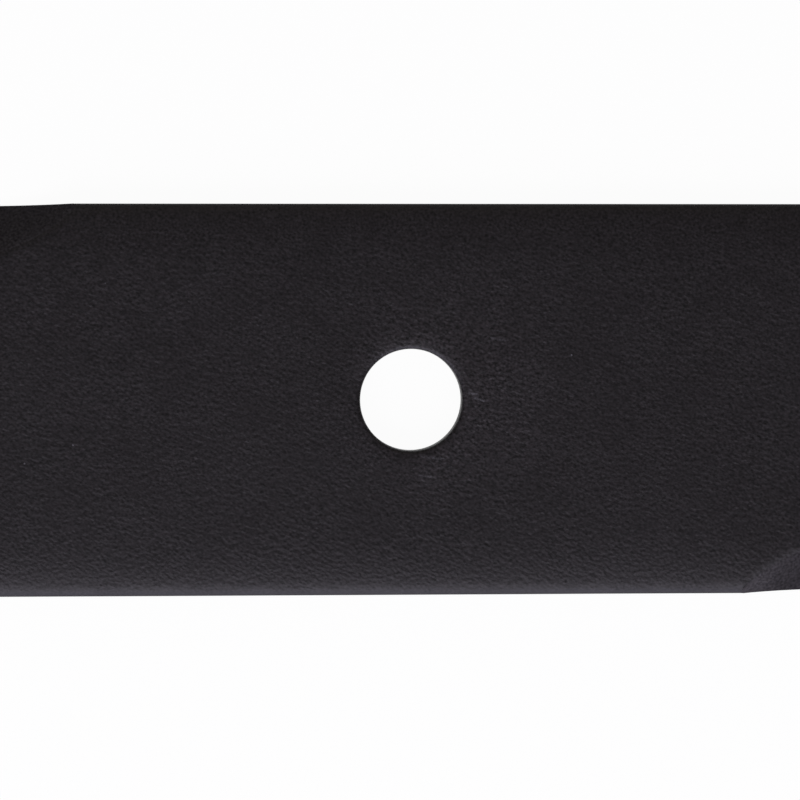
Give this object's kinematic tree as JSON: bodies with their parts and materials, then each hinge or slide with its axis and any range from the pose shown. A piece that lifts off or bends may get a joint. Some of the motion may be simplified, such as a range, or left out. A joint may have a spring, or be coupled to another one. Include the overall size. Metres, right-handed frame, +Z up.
{
  "type": "rotary mower blade",
  "caption": "Flat steel mower blade with a central spindle hole, a ground cutting edge on opposite sides of its ends and a raised sail behind each edge.",
  "frame": {"origin": "centre of the spindle hole, on the flat underside", "axes": "+X along the blade's length, +Y across its width, +Z up along the spindle axis, the way the sails rise"},
  "size_m": [0.4128, 0.0642, 0.0224],
  "materials": {
    "black_paint": "satin black paint with a fine orange-peel grain, over the whole blade"
  },
  "bodies": {
    "root": {"blade": "black_paint"}
  },
  "joints": []
}
